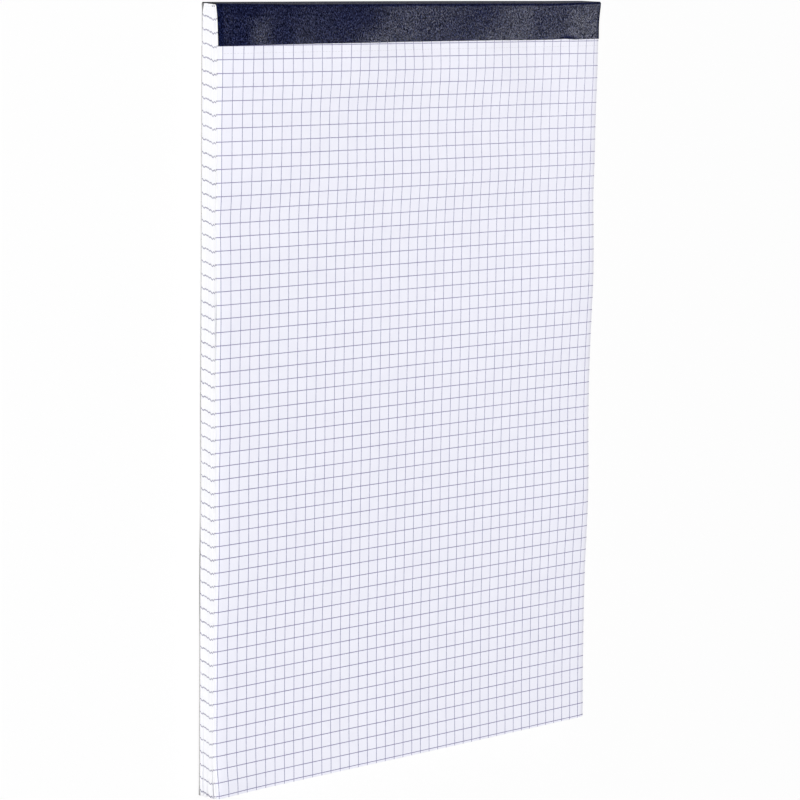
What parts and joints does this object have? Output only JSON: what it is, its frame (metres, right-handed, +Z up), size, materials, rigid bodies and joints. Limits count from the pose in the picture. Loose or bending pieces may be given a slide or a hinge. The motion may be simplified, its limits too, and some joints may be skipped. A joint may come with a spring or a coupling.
{
  "type": "squared notepad",
  "caption": "A4 notepad of squared sheets on a grey backing board, stitched with wire at the head and bound there with a dark blue leather-grained tape.",
  "frame": {"origin": "centre of the pad's back, on the surface that it lies on", "axes": "+X across the sheets to the right of the front page, +Y along the pad to its bound head, +Z up out of the front page"},
  "size_m": [0.21, 0.2974, 0.0096],
  "materials": {
    "paper": "uncoated writing paper, cool white, matt",
    "board": "grey unbleached chipboard, matt",
    "tape": "dark blue imitation leather tape with a fine pebbled grain and a soft sheen",
    "wire": "drawn galvanised steel wire",
    "ink": "thin blue-violet printed lines, matt"
  },
  "bodies": {
    "root": {"page_block": "paper", "backing_board": "board", "binding_tape": "tape", "wire_stitch_left": "wire", "wire_stitch_right": "wire", "ruling_across": "ink", "ruling_down": "ink", "ruling_at_sides": "ink", "ruling_at_foot": "ink"}
  },
  "joints": []
}
